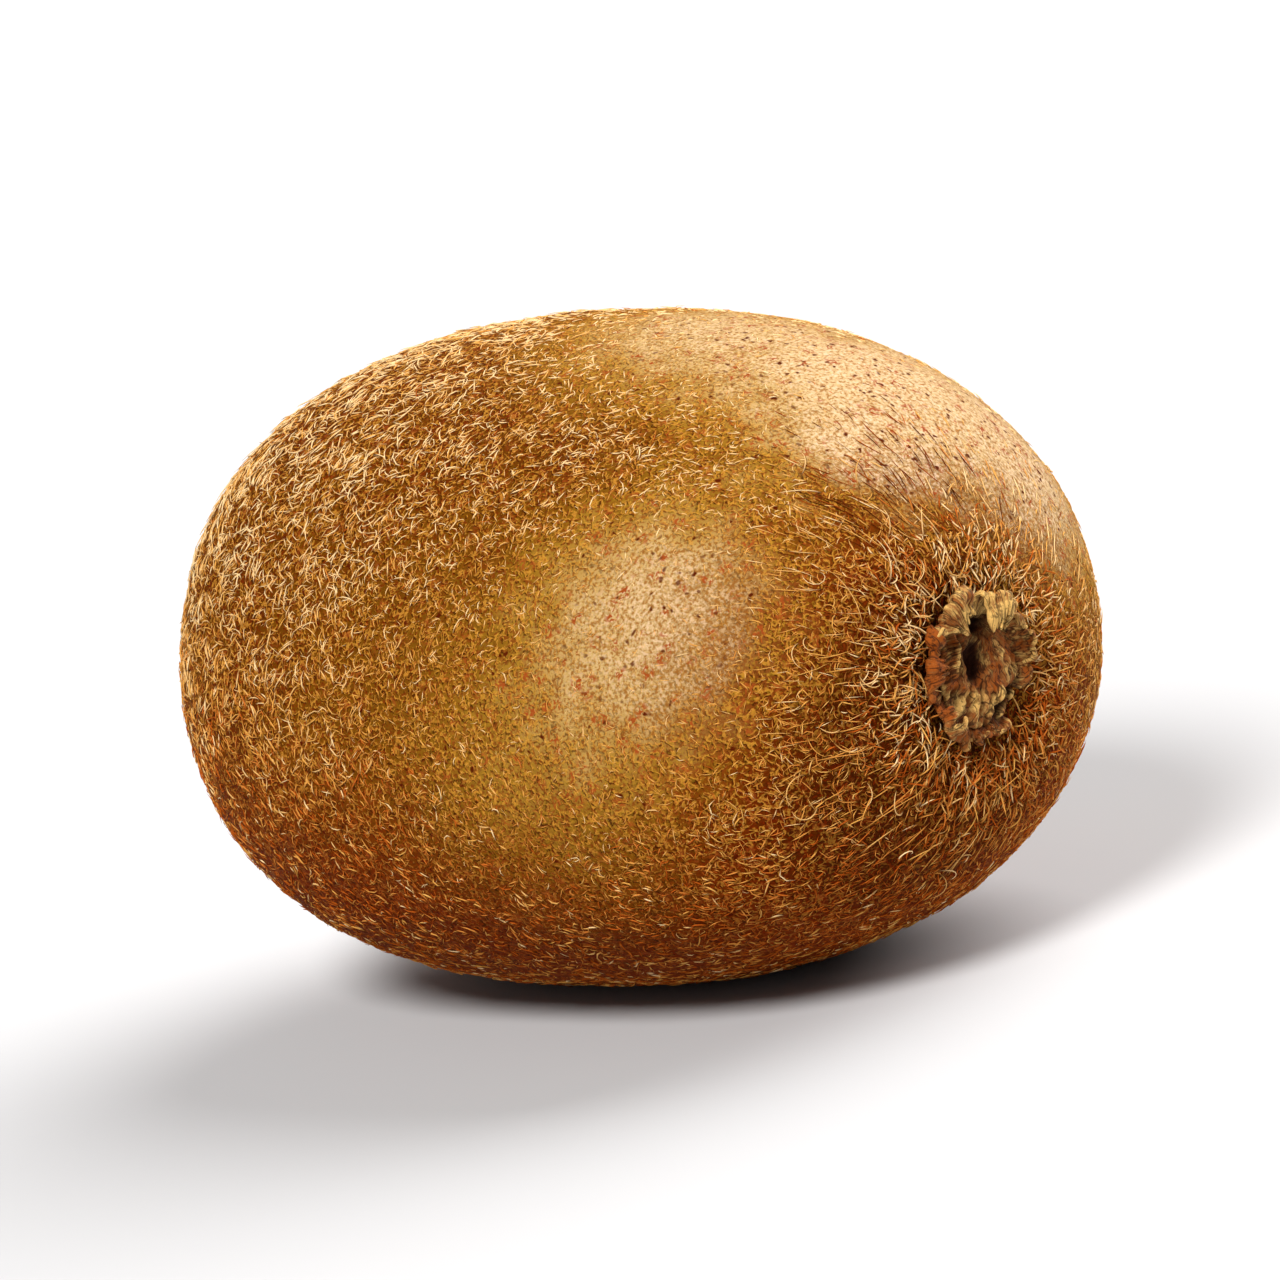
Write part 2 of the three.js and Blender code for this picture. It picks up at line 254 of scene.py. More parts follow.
class Finish:
    """A material in the making, with the colour that it has so far."""

    def __init__(self, name, colour=None):
        self.material = bpy.data.materials.new(name)
        self.material.use_nodes = True
        self.tree = self.material.node_tree
        self.colour = colour

    def feed(self, socket, value):
        """Links the socket to another one, or gives it a value of its own."""
        if isinstance(value, bpy.types.NodeSocket):
            self.tree.links.new(value, socket)
        elif socket.type == "RGBA":
            socket.default_value = (*value[:3], 1.0)
        else:
            socket.default_value = value

    def set(self, node, **values):
        """Sets a node's sockets, whose names have a capital here, and its own settings."""
        for name, value in values.items():
            if name[0].isupper():
                self.feed(node.inputs[name.replace("_", " ")], value)
            else:
                setattr(node, name, value)

    def add(self, kind, *fed, **values):
        """A new node, with its first sockets fed in their order and the rest set by name."""
        node = self.tree.nodes.new("ShaderNode" + kind)
        self.set(node, **values)
        for socket, value in zip(node.inputs, fed):
            self.feed(socket, value)
        return node

    def coat(self, share, colour):
        """Covers this share of each place with a colour."""
        self.colour = self.mix(share, self.colour, colour)

    def shade(self, **values):
        """Ends the material with its colour and these other sockets of the shader."""
        self.set(self.tree.nodes["Principled BSDF"], Base_Color=self.colour, **values)
        return self.material

    def here(self):
        return self.add("TexCoord").outputs["Object"]

    def carried(self, name):
        """A number that the mesh carries at each of its points."""
        return self.add("Attribute", attribute_name=name).outputs["Fac"]

    def sum(self, kind, *numbers, clamp=False):
        return self.add("Math", *numbers, operation=kind, use_clamp=clamp).outputs[0]

    def times(self, first, *others):
        for other in others:
            first = self.sum("MULTIPLY", first, other)
        return first

    def plus(self, first, *others):
        for other in others:
            first = self.sum("ADD", first, other)
        return first

    def vector(self, kind, first, second=(0, 0, 0), scale=1.0):
        node = self.add("VectorMath", first, second, operation=kind)
        if kind == "SCALE":
            self.feed(node.inputs["Scale"], scale)
        return node.outputs["Value" if kind in ("LENGTH", "DISTANCE", "DOT_PRODUCT") else "Vector"]

    def parts(self, vector):
        return self.add("SeparateXYZ", vector).outputs

    def together(self, x, y, z):
        return self.add("CombineXYZ", x, y, z).outputs[0]

    def noise(self, at, size, detail=2.0, roughness=0.5, distortion=0.0, out="Fac"):
        return self.add(
            "TexNoise", at, Scale=1 / size, Detail=detail, Roughness=roughness, Distortion=distortion
        ).outputs[out]

    def torn(self, at, size):
        """The place moved in a random way, up to half this size each way."""
        way = self.vector("SUBTRACT", self.noise(at, size, out="Color"), (0.5, 0.5, 0.5))
        return self.vector("ADD", at, self.vector("SCALE", way, scale=size))

    def fade(self, value, low, high, start=0.0, end=1.0):
        """start where the value is at low or past it, end at high, and a smooth run between."""
        node = self.add("MapRange", value, low, high, start, end, interpolation_type="SMOOTHSTEP")
        return node.outputs["Result"]

    def ramp(self, value, *stops):
        node = self.add("ValToRGB", value)
        made = node.color_ramp.elements
        while len(made) < len(stops):
            made.new(1.0)
        for element, (place, colour) in zip(made, stops):
            element.position = place
            element.color = (*colour, 1.0)
        return node.outputs["Color"]

    def mix(self, share, first, second):
        node = self.add("Mix", share, data_type="RGBA")
        self.feed(node.inputs[6], first)
        self.feed(node.inputs[7], second)
        return node.outputs[2]

    def bump(self, height, depth, **under):
        return self.add("Bump", Distance=depth, Height=height, **under).outputs["Normal"]

    def strands(self, at, size, thin):
        """1 along thin crooked strands, about this far apart and cut into short lengths."""
        cells = self.add("TexVoronoi", at, feature="DISTANCE_TO_EDGE", Scale=1 / size)
        gaps = self.noise(at, 0.5 * size, 0)
        line = self.fade(cells.outputs["Distance"], thin, 0.3 * thin)
        return self.times(line, self.fade(gaps, 0.46, 0.54))

    def dots(self, at, size, radius, share):
        """1 on round dots of this radius, scattered this far apart, on this share of the places."""
        cells = self.add("TexVoronoi", at, Scale=1 / size)
        kept = self.sum("LESS_THAN", self.parts(cells.outputs["Color"])[0], share)
        return self.times(self.fade(cells.outputs["Distance"], radius / size, 0.4 * radius / size), kept)


# ---- Settings ----


def length(name, description, millimetres):
    return FloatProperty(
        name=name, description=description, default=millimetres * MM, subtype="DISTANCE", unit="LENGTH",
        precision=5,
    )


def colour(name, description, code):
    return FloatVectorProperty(
        name=name, description=description, default=linear(code), size=3, min=0, max=1, subtype="COLOR",
    )


def count(name, description, number):
    return IntProperty(name=name, description=description, default=number, min=1)


def angle(name, description, degrees):
    return FloatProperty(
        name=name, description=description, default=math.radians(degrees), subtype="ANGLE", unit="ROTATION",
    )


def strength(name, description, number):
    return FloatProperty(name=name, description=description, default=number)


class KiwiSkinSettings(bpy.types.PropertyGroup):
    relief: length("Relief", "Depth of the skin's slow unevenness", 0.1)
    pebble: length("Pebble size", "Distance over which the skin rises and falls", 4.5)
    olive: colour("Olive", "Hairy skin on the fruit's greener parts", "6C4003")
    tan: colour("Tan", "Hairy skin on the fruit's browner parts", "582802")
    # Russet is the skin's own red brown clouds, and also painted shade on the lower flank and round the
    # stem end.
    russet_and_shade: colour("Russet", "Skin in its red brown clouds and flanks", "6C2000")
    # This colour is painted shade: round the two ends, in the streaks at the stem end and beside the flat
    # hairs.
    painted_shade: colour("Dusk", "Skin round the two ends", "320F00")
    gap: colour("Gap", "Skin in the shade of the calyx", "140600")
    # This pale colour is rubbed skin and also painted highlight, where the lights' glow and sheen fall.
    bare: colour("Bare", "Skin where its hair is rubbed off", "C4A46C")
    # Gold is skin where its hair has grown thin, and also the painted glow round the highlight patches.
    gold: colour("Gold", "Skin where its hair has grown thin", "A4781E")
    # The pale flecks also pale the brightest patches, as painted highlight.
    pale: colour("Pale", "The dry flecks on the skin", "F2CFB0")
    fleck: colour("Fleck", "The brown flecks on bare skin", "986224")
    pore: colour("Pore", "The dots where hairs have broken off", "501402")
    rust: colour("Rust", "The red specks", "98461A")
    strand: colour("Strand", "The finest hairs, which lie flat on the skin", "D89636")


class KiwiHairSettings(bpy.types.PropertyGroup):
    curls: count("Curls", "Number of curled hairs", 31500)
    down: count("Down", "Number of short fine hairs", 26500)
    whorl: count("Whorl", "Number of hairs round the calyx", 1650)
    combed: count("Combed", "Number of long flat hairs that run in to the stem end", 900)
    loose: count("Loose", "Number of long loose hairs near the stem end", 40)
    tuft: count("Tuft", "Number of hairs round the style remains", 1800)
    curl_length: length("Curl length", "Middle length of the curled hairs", 1.0)
    down_length: length("Down length", "Middle length of the short hairs", 0.75)
    whorl_length: length("Whorl length", "Middle length of the hairs round the calyx", 1.2)
    combed_length: length("Combed length", "Middle length of the long flat hairs", 2.2)
    loose_length: length("Loose length", "Middle length of the long loose hairs", 2.6)
    thickness: length("Thickness", "Diameter of a hair at its root", 0.15)
    root: colour("Root", "Hair next to the skin", "562604")
    bristle: colour("Bristle", "The darkest of the flat hairs", "4A1C04")
    copper: colour("Copper", "The reddest hairs, most of them low on the fruit", "C05C1A")
    middle: colour("Golden", "Most hairs", "E6AC54")
    light: colour("Light", "The palest hairs", "FCDFA8")
    seed: count("Seed", "Start of the random draws", 11)


class KiwiCalyxSettings(bpy.types.PropertyGroup):
    thickness: length("Sepal thickness", "Thickness of a dried sepal", 0.3)
    crumple: length("Crumple", "Depth of the sepals' fine crumples", 0.2)
    straw: colour("Straw", "The pale dry folds and edges", "E2B466")
    bark: colour("Bark", "Most of the sepals and the scar", "925A2A")
    rust: colour("Rust", "The smooth red brown sepal", "9C4E14")
    # This colour is the dark cracks and dust, and also painted shade in the hollow and the deep parts.
    soot_and_shade: colour("Soot", "The cracks and the hollow", "2A1004")


class KiwiStyleSettings(bpy.types.PropertyGroup):
    count: count("Styles", "Number of dried styles", 19)
    radius: length("Radius", "Radius of a style at its root", 0.3)
    dark: colour("Dark", "The styles' roots", "3C2210")
    light: colour("Light", "The styles' tips", "8A6034")


class KiwiStageSettings(bpy.types.PropertyGroup):
    azimuth: angle("Azimuth", "The camera's place round the fruit, from its front", 45)
    elevation: angle("Elevation", "The camera's height over the horizon", 11)
    roll: angle("Roll", "The camera's turn round its own line of sight", -12.4)
    distance: length("Distance", "From the camera to the fruit", 588)
    lens: FloatProperty(name="Lens", description="Focal length", default=235, unit="CAMERA")
    floor: colour("Floor", "The floor's colour", "CACCD0")
    key: strength("Key", "Strength of the light from the front", 3.4)
    rim: strength("Rim", "Strength of the light from behind", 4.2)
    sky: strength("Sky", "Strength of the light from all round", 0.2)


# ---- Skin ----


def streak_place(finish, here):
    """A place that runs fast round the stem end's middle and slowly away from it, for streaks."""
    away = finish.vector("SUBTRACT", here, STEM_SEAT)
    _, y, z = finish.parts(away)
    _, y, z = finish.parts(finish.vector("NORMALIZE", finish.together(0.0, y, z)))
    return finish.together(finish.times(finish.vector("LENGTH", away), 90.0), y, z)


def skin_finish(settings):
    finish = Finish("kiwi skin", settings.olive)
    coat, fade, times, noise = finish.coat, finish.fade, finish.times, finish.noise
    here = finish.here()
    bare = finish.carried("bare")

    # Under the hairs: clouds of olive and brown, with russet ones.
    tone = noise(here, 11 * MM, 3, 0.55, 0.4)
    clouds = noise(here, 1.8 * MM, 3, 0.65, 0.8)
    mottle = finish.plus(times(tone, 0.4), times(clouds, 0.6))
    coat(fade(mottle, 0.38, 0.62), settings.tan)
    coat(fade(clouds, 0.56, 0.72, 0.0, 0.6), settings.russet_and_shade)
    # Then the rubbed skin, paler where it is also painted highlight from the lights' glow and sheen.
    coat(finish.sum("MULTIPLY", bare, 1.7, clamp=True), settings.gold)
    coat(fade(bare, 0.2, 1.0), settings.bare)
    coat(fade(bare, 0.7, 1.0, 0.0, 0.2), settings.pale)

    # Painted shade: the lower flank and the two ends are redder and darker, and so are the skin round the
    # stem end and the hollow round the calyx.
    high = finish.sum("MULTIPLY_ADD", tone, 12 * MM, finish.vector("DOT_PRODUCT", here, UP_THE_FLANK))
    low = fade(high, 29 * MM, 13.5 * MM, 0.0, 0.88)
    coat(low, settings.russet_and_shade)
    from_stem = finish.vector("DISTANCE", here, STEM_SEAT)
    from_blossom = finish.vector("DISTANCE", here, BLOSSOM_SEAT)
    ragged = times(noise(here, 2.2 * MM, 3), 5 * MM)
    shady = finish.plus(finish.vector("DISTANCE", here, UNDER_STEM), ragged)
    coat(fade(shady, 25 * MM, 15 * MM, 0.0, 0.8), settings.russet_and_shade)
    near_stem = fade(shady, 18.5 * MM, 11 * MM, 0.0, 0.84)
    near_stem = times(near_stem, fade(bare, 0.4, 0.9, 1.0, 0.25))
    near_blossom = fade(finish.plus(from_blossom, ragged), 14 * MM, 6 * MM, 0.0, 0.8)
    coat(finish.sum("MAXIMUM", near_stem, near_blossom), settings.painted_shade)
    gap = finish.sum("MULTIPLY_ADD", ragged, 0.3, from_stem)
    coat(fade(gap, 9 * MM, 6.8 * MM, 0.0, 0.9), settings.gap)

    # Dark streaks of painted shade that run in to the stem end.
    streaks = noise(streak_place(finish, here), 0.035, 3, 0.6)
    reach = fade(from_stem, 25 * MM, 13 * MM)
    coat(times(fade(streaks, 0.52, 0.64), reach, 0.3), settings.painted_shade)

    # The finest hairs lie flat between the others, beside their own painted shadows, which lie a little
    # away from the key light.
    hairy = fade(bare, 1.0, 0.25, 0.12, 1.0)
    torn = finish.torn(here, 0.8 * MM)

    def flat_hairs(at, wider):
        aside = finish.vector("ADD", at, (0.023, 0.019, 0.029))
        coarse = finish.strands(at, 0.85 * MM, wider * 0.09)
        fine = finish.strands(aside, 0.62 * MM, wider * 0.11)
        return times(hairy, finish.sum("MAXIMUM", coarse, fine))

    shadows = flat_hairs(finish.vector("ADD", torn, (0.06 * MM, 0.07 * MM, 0.06 * MM)), 1.5)
    coat(times(shadows, 0.9), settings.painted_shade)
    strands = times(flat_hairs(torn, 1.0), fade(near_stem, 0.2, 0.9, 0.65, 0.3))
    # Low on the flank the flat hairs are redder, with the painted shade there.
    coat(strands, finish.mix(low, settings.strand, settings.rust))

    # A fine stipple, then the red specks, stubs and pores.
    fleck = noise(here, 0.25 * MM, 2, 0.6)
    # The light stipple is paler on the rubbed patches that carry painted highlight.
    light = finish.mix(fade(bare, 0.0, 0.4), settings.tan, settings.gold)
    light = finish.mix(fade(bare, 0.4, 1.0), light, settings.pale)
    coat(fade(fleck, 0.5, 0.64, 0.0, 0.56), light)
    dark = finish.mix(bare, settings.russet_and_shade, settings.fleck)
    coat(fade(fleck, 0.49, 0.36, 0.0, 0.8), dark)
    specks = times(
        finish.dots(torn, 1.5 * MM, 0.7 * MM, 0.9), finish.strands(torn, 0.5 * MM, 0.28),
        fade(bare, 0.05, 0.5, 0.5, 1.0),
    )
    coat(specks, settings.rust)
    coat(times(finish.dots(torn, 0.75 * MM, 0.16 * MM, 0.5), 0.35), settings.rust)
    pores = times(finish.dots(torn, 1.0 * MM, 0.24 * MM, 0.85), fade(bare, 0.5, 0.9, 0.4, 1.0))
    pores = finish.sum("MAXIMUM", pores, finish.dots(torn, 1.6 * MM, 0.25 * MM, 0.9))
    coat(times(pores, 0.97), settings.pore)

    pebbles = finish.bump(noise(here, 1.4 * MM, 2, 0.5), 0.35 * MM)
    return finish.shade(
        Roughness=finish.sum("MAXIMUM", pores, fade(bare, 0.3, 0.9, 0.8, 0.45)),
        Normal=finish.bump(fleck, 0.14 * MM, Normal=pebbles),
        Specular_IOR_Level=0.03,
        Specular_Tint=(1.0, 0.78, 0.5),
    )


class KIWI_OT_skin(bpy.types.Operator):
    """Lay a finer skin over the fruit's solid, with its slow unevenness and its colours"""

    bl_idname = "kiwi.skin"
    bl_label = "Skin"

    def execute(self, context):
        settings = context.scene.kiwi_skin
        skin = add_object("kiwi_skin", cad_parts["fruit"].data.copy())
        edit(skin)
        bpy.ops.mesh.remove_doubles(threshold=1e-6)
        flat_enough = math.radians(60)
        bpy.ops.mesh.tris_convert_to_quads(face_threshold=flat_enough, shape_threshold=flat_enough)
        refine(skin)

        # A slow unevenness and a broader one, which fade out next to the floor.
        points, out = points_of(skin), normals_of(skin)
        rise = ripples(points, settings.pebble, 3, 40) + 0.8 * ripples(points, 3.1 * settings.pebble, 4, 30)
        off_floor = ease(0.0, 1.5 * MM, points[:, 2])
        points += out * (0.5 * settings.relief * rise * off_floor)[:, None]
        points[:, 2] = np.maximum(points[:, 2], 0.0)
        place_points(skin, points)
        # Each point carries how far its skin has paled, which is partly painted highlight, and its way out.
        carry(skin, bare=rubbed_and_highlit(points, PALED_AND_HIGHLIT), outward=out)
        hold(skin)
        bpy.ops.object.shade_smooth()
        finish_piece(skin, skin_finish(settings), "skin", "fruit")
        return {"FINISHED"}


# ---- Hairs ----


class Hair:
    """One hair to copy: a thin cone with three sides, cut into even steps along its length."""

    def __init__(self, steps):
        cone = begin(
            bpy.ops.mesh.primitive_cone_add,
            vertices=3, radius1=1.0, radius2=0.0, depth=1.0, location=(0, 0, 0.5),
        )
        cut(cone, steps, (0, 0, 1))
        settle(cone)
        points = points_of(cone)
        self.steps = steps
        self.along = points[:, 2].round(4)
        self.turn = np.arctan2(points[:, 1], points[:, 0])
        self.faces = [tuple(face.vertices) for face in cone.data.polygons]
        bpy.data.objects.remove(cone)

    def copies(self, name, bunch):
        """One mesh that holds a copy of this hair for each root in the bunch."""
        number, each = len(bunch.roots), len(self.along)
        spine, side, up = bunch.spines(self.steps)
        step = np.rint(self.along * self.steps).astype(int)
        taper = np.where(self.along > 0.999, 0, 1 - THINNED * self.along**1.5)
        girth = bunch.radius[:, None] * taper[None, :]
        points = (
            spine[:, step]
            + side[:, step] * (girth * np.cos(self.turn))[..., None]
            + up[:, step] * (girth * np.sin(self.turn))[..., None]
        ).reshape(-1, 3)
        points[:, 2] = np.maximum(points[:, 2], FLOOR_GAP)

        corners = np.concatenate(self.faces)
        sizes = np.tile([len(face) for face in self.faces], number)
        mesh = bpy.data.meshes.new(name)
        mesh.vertices.add(number * each)
        write(mesh.vertices, "co", points)
        mesh.loops.add(number * len(corners))
        write(mesh.loops, "vertex_index", corners[None, :] + each * np.arange(number)[:, None], np.int32)
        mesh.polygons.add(len(sizes))
        write(mesh.polygons, "loop_start", np.cumsum(sizes) - sizes, np.int32)
        write(mesh.polygons, "use_smooth", np.ones(len(sizes)), bool)
        # The map: each hair's tone across, and the way from its root to its tip along.
        across = bunch.tone[:, None] + 0.004 * np.cos(self.turn[corners])[None, :]
        along = np.broadcast_to(0.03 + 0.94 * self.along[corners], across.shape)
        write(mesh.uv_layers.new(name="OFBake").uv, "vector", np.stack([across, along], 2))
        mesh.update(calc_edges=True)
        mesh.validate()
        return add_object(name, mesh)


class Bunch:
    """Hairs about to be copied: where each starts and how it runs."""

    def __init__(self, **values):
        self.__dict__.update(values)

    def part(self, kept):
        return Bunch(**{name: value[kept] for name, value in self.__dict__.items()})

    def spines(self, steps):
        """Each hair's middle line and, at each of its points, two ways across it."""
        line, side, up = [self.roots - self.normals * ROOT_DEPTH], [], []
        for step in range(steps + 1):
            done = step / steps
            swing = self.curl * done
            lift = self.lift + (self.settle - self.lift) * done
            level = self.lean * np.cos(swing)[:, None] + self.beside * np.sin(swing)[:, None]
            way = level * np.cos(lift)[:, None] + self.normals * np.sin(lift)[:, None]
            across = unit(np.cross(self.normals, level))
            side.append(across)
            up.append(np.cross(way, across))
            if step < steps:
                line.append(line[-1] + way * (self.length / steps)[:, None])
        return np.stack(line, 1), np.stack(side, 1), np.stack(up, 1)


class Roots:
    """The places where one kind of hair starts, and the draws that tell its hairs apart."""

    def __init__(self, places, normals, chance):
        self.places, self.normals, self.chance = places, normals, chance

    def even(self, low, high):
        return self.chance.uniform(low, high, len(self.places))

    def about(self, middle, spread):
        return self.chance.normal(middle, spread, len(self.places))

    def angles(self, low, high):
        """Angles from low to high, which are given in degrees."""
        return np.radians(self.even(low, high))

    def lengths(self, middle, spread):
        return middle * np.exp(self.about(0, spread))

    def grow(self, turn, tone, **shape):
        """Hairs that lean away from the way to the stem end by turn, all given per hair."""
        ahead = toward_stem(self.places, self.normals)
        aside = np.cross(self.normals, ahead)
        lean = ahead * np.cos(turn)[:, None] + aside * np.sin(turn)[:, None]
        return Bunch(
            roots=self.places, normals=self.normals, lean=lean, beside=np.cross(self.normals, lean),
            tone=np.clip(tone, 0.1, 0.99), **shape,
        )


class Ground:
    """The skin that hairs grow on, as places to draw from."""

    def __init__(self, piece):
        mesh = piece.data
        mesh.calc_loop_triangles()
        triangles = np.empty(len(mesh.loop_triangles) * 3, np.int32)
        mesh.loop_triangles.foreach_get("vertices", triangles)
        self.corners = triangles.reshape(-1, 3)
        self.points = points_of(piece)
        # The way out of the fruit, without the skin's unevenness, so that the hairs lie evenly.
        self.normals = read(mesh.attributes["outward"].data, "vector")
        a, b, c = (self.points[self.corners[:, i]] for i in range(3))
        self.areas = np.linalg.norm(np.cross(b - a, c - a), axis=1) / 2

    def draw(self, number, wanted, seed):
        """Roots drawn evenly over the skin, kept as often as wanted(place) says."""
        chance = np.random.default_rng(seed)
        places, outward = [], []
        found = 0
        while found < number:
            which = chance.choice(len(self.areas), 2 * number, p=self.areas / self.areas.sum())
            u, v = np.sqrt(chance.random(2 * number)), chance.random(2 * number)
            weights = np.stack([1 - u, u * (1 - v), u * v], 1)[..., None]
            place = (self.points[self.corners[which]] * weights).sum(1)
            normal = unit((self.normals[self.corners[which]] * weights).sum(1))
            kept = chance.random(len(place)) < wanted(place)
            places.append(place[kept])
            outward.append(normal[kept])
            found += int(kept.sum())
        return Roots(np.concatenate(places)[:number], np.concatenate(outward)[:number], chance)


def rubbed_and_highlit(places, effect=LOST):
    """How much hair the skin has lost at each place, or how far it has paled, which is partly painted
    highlight, from 0 to 1.
    """
    kept = np.ones(len(places))
    ragged = 0.8 * MM * ripples(places, 3.5 * MM, 21)
    for middle, radius, *shares in RUBBED_AND_HIGHLIT:
        radius *= MM
        distance = far_from(places, np.array(middle) * MM) + ragged
        kept *= 1 - shares[effect] * ease(1.65 * radius, 0.1 * radius, distance)
    return 1 - kept


def toward_stem(places, normals):
    """The way along the skin towards the stem end."""
    long_way = np.broadcast_to(np.array(OUT_OF_STEM), places.shape)
    to_stem = unit(np.array(STEM_SEAT) - places)
    from_blossom = unit(places - np.array(BLOSSOM_SEAT))
    at_stem = ease(4 * MM, 22 * MM, places[:, 0])[:, None]
    at_blossom = ease(-4 * MM, -22 * MM, places[:, 0])[:, None]
    way = long_way * (1 - at_stem - at_blossom) + to_stem * at_stem + from_blossom * at_blossom
    return unit(way - normals * (way * normals).sum(1, keepdims=True))


def hair_finish(settings):
    finish = Finish("kiwi hair")
    across, along, _ = finish.parts(finish.add("UVMap", uv_map="OFBake").outputs["UV"])
    finish.colour = finish.ramp(
        across, (0.03, settings.bristle), (0.12, settings.copper), (0.6, settings.middle),
        (1.0, settings.light),
    )
    finish.coat(finish.fade(along, 0.4, 0.0, 0.0, 0.85), settings.root)
    grain = finish.noise(finish.together(across, along, 0.0), 0.02, 2)
    finish.coat(finish.fade(grain, 0.4, 0.7, 0.0, 0.2), settings.copper)
    return finish.shade(Roughness=0.55, Specular_IOR_Level=0.02, Specular_Tint=(1.0, 0.75, 0.4))


def low_shade(places):
    """1 low on the fruit's flank and 0 well up it, where the hairs carry painted shade."""
    return ease(26 * MM, 11.5 * MM, places @ np.array(UP_THE_FLANK) + 2 * MM * ripples(places, 9 * MM, 44))


def far_from(places, middle):
    return np.linalg.norm(places - np.array(middle), axis=1)


def near(places, middle, whole, none):
    """1 nearer to the middle than the first distance, in millimetres, and 0 past the second."""
    return ease(none * MM, whole * MM, far_from(places, middle))


def ring(places, middle, inside, begun, whole, none):
    """1 in a ring round the middle, which fades between these distances, in millimetres."""
    return ease(inside * MM, begun * MM, far_from(places, middle)) * near(places, middle, whole, none)


def clumps(places):
    """How far the hairs turn from their common way, alike for neighbours."""
    return 1.1 * ripples(places, 6 * MM, 41) + 0.6 * ripples(places, 1.7 * MM, 45)


def grow_curls(ground, settings):
    def wanted(places):
        near_stem = near(places, STEM_SEAT, 7, 12)
        patchy = 0.8 + 0.2 * ripples(places, 5 * MM, 31)
        return np.clip((1 - rubbed_and_highlit(places)) * (1 - near_stem) * patchy, 0, 1)

    roots = ground.draw(settings.curls, wanted, settings.seed)
    places = roots.places
    low = low_shade(places)
    longer = 0.85 + 0.4 * ease(12 * MM, -10 * MM, places[:, 0]) * (1 - low)
    by_stem = near(places, UNDER_STEM, 12, 23)
    return roots.grow(
        turn=math.pi + clumps(places) + roots.about(0, 0.85),
        curl=roots.about(0, 1.75) + 0.6 * ripples(places, 3 * MM, 42),
        length=roots.lengths(settings.curl_length, 0.3) * (1 - 0.4 * rubbed_and_highlit(places)) * longer,
        # The tone is painted light and shade: darker and redder low on the flank and by the stem end, paler
        # high on the fruit.
        tone=0.66 - 0.42 * low + 0.21 * ease(25 * MM, 37 * MM, places[:, 2])
        + roots.about(0, 0.16 + 0.2 * low) + (0.06 * ripples(places, 4 * MM, 43) - 0.16 * by_stem),
        radius=settings.thickness / 2 * roots.even(0.7, 1.1),
        lift=roots.angles(2, 14),
        settle=roots.angles(-12, 0),
    )


def grow_down(ground, settings):
    def wanted(places):
        return np.clip((1 - 0.7 * rubbed_and_highlit(places)) * (1 - near(places, STEM_SEAT, 6, 10)), 0, 1)

    roots = ground.draw(settings.down, wanted, settings.seed + 1)
    places = roots.places
    return roots.grow(
        turn=math.pi + clumps(places) + roots.about(0, 0.6),
        length=roots.lengths(settings.down_length, 0.35) * (1 - 0.55 * rubbed_and_highlit(places)),
        radius=0.62 * settings.thickness / 2 * roots.even(0.8, 1.1),
        lift=roots.angles(3, 15),
        settle=roots.angles(-8, 2),
        curl=roots.about(0, 0.9),
        # Darker low on the flank, as painted shade.
        tone=0.5 - 0.34 * low_shade(places) + roots.about(0, 0.2),
    )


def grow_whorl(ground, settings):
    def wanted(places):
        return ring(places, STEM_SEAT, 5.2, 6.2, 7, 13)

    roots = ground.draw(settings.whorl, wanted, settings.seed + 2)
    places = roots.places
    inner = near(places, STEM_SEAT, 6, 13)
    below = ease(1 * MM, -6 * MM, places[:, 2] - STEM_SEAT.z)
    flatter = 1 - 0.6 * ease(0.0, 8 * MM, places[:, 1])
    outward = roots.even(0, 1) < 0.5
    return roots.grow(
        turn=np.where(outward, math.pi, 0.0) + roots.about(0, 0.25 + 0.42 * inner),
        length=roots.lengths(settings.whorl_length, 0.33) * (0.65 + 0.35 * inner),
        # Darker below the stem end, as painted shade.
        tone=0.57 - 0.33 * below + roots.about(0, 0.38),
        radius=settings.thickness / 2 * roots.even(0.7, 1.1),
        lift=flatter * roots.angles(10, 45),
        settle=roots.angles(-30, 12),
        curl=roots.about(0, 1.1),
    )


def grow_combed(ground, settings):
    """Long flat hairs that run in to the stem end, the dark ones over its upper left."""
    def streaked(places):
        return near(places, STREAKED, 4.5, 10)

    def wanted(places):
        off_calyx = ease(6 * MM, 8 * MM, far_from(places, STEM_SEAT))
        return ring(places, STEM_SEAT, 7, 10, 13, 25) * 0.2 + 0.4 * streaked(places) * off_calyx

    roots = ground.draw(settings.combed, wanted, settings.seed + 4)
    places = roots.places
    shorter = 1 - 0.6 * ease(15 * MM, 21 * MM, far_from(places, STEM_SEAT))
    size = roots.lengths(settings.combed_length, 0.35) * shorter
    dark = roots.even(0, 1) < 0.06 + 0.74 * streaked(places)
    bunch = roots.grow(
        turn=roots.about(0, 0.12),
        length=size,
        radius=0.68 * settings.thickness / 2 * roots.even(0.7, 1.1),
        lift=roots.angles(2, 7),
        settle=roots.angles(-5, 1),
        curl=roots.about(0, 0.3),
        # Darker low on the flank, as painted shade.
        tone=0.62 - 0.3 * low_shade(places) + roots.about(0, 0.2),
    )
    bunch.tone[dark] = roots.even(0.02, 0.08)[dark]
    return bunch


def grow_loose(ground, settings):
    def wanted(places):
        return ring(places, STEM_SEAT, 6, 8, 9, 19) * ease(1 * MM, -4 * MM, places[:, 1])

    roots = ground.draw(settings.loose, wanted, settings.seed + 5)
    return roots.grow(
        turn=roots.even(0, 2 * math.pi),
        length=roots.lengths(settings.loose_length, 0.25),
        radius=0.75 * settings.thickness / 2 * roots.even(0.8, 1.1),
        lift=roots.angles(20, 45),
        settle=roots.angles(-40, -15),
        curl=roots.about(0, 2.0),
        tone=roots.about(0.75, 0.15),
    )


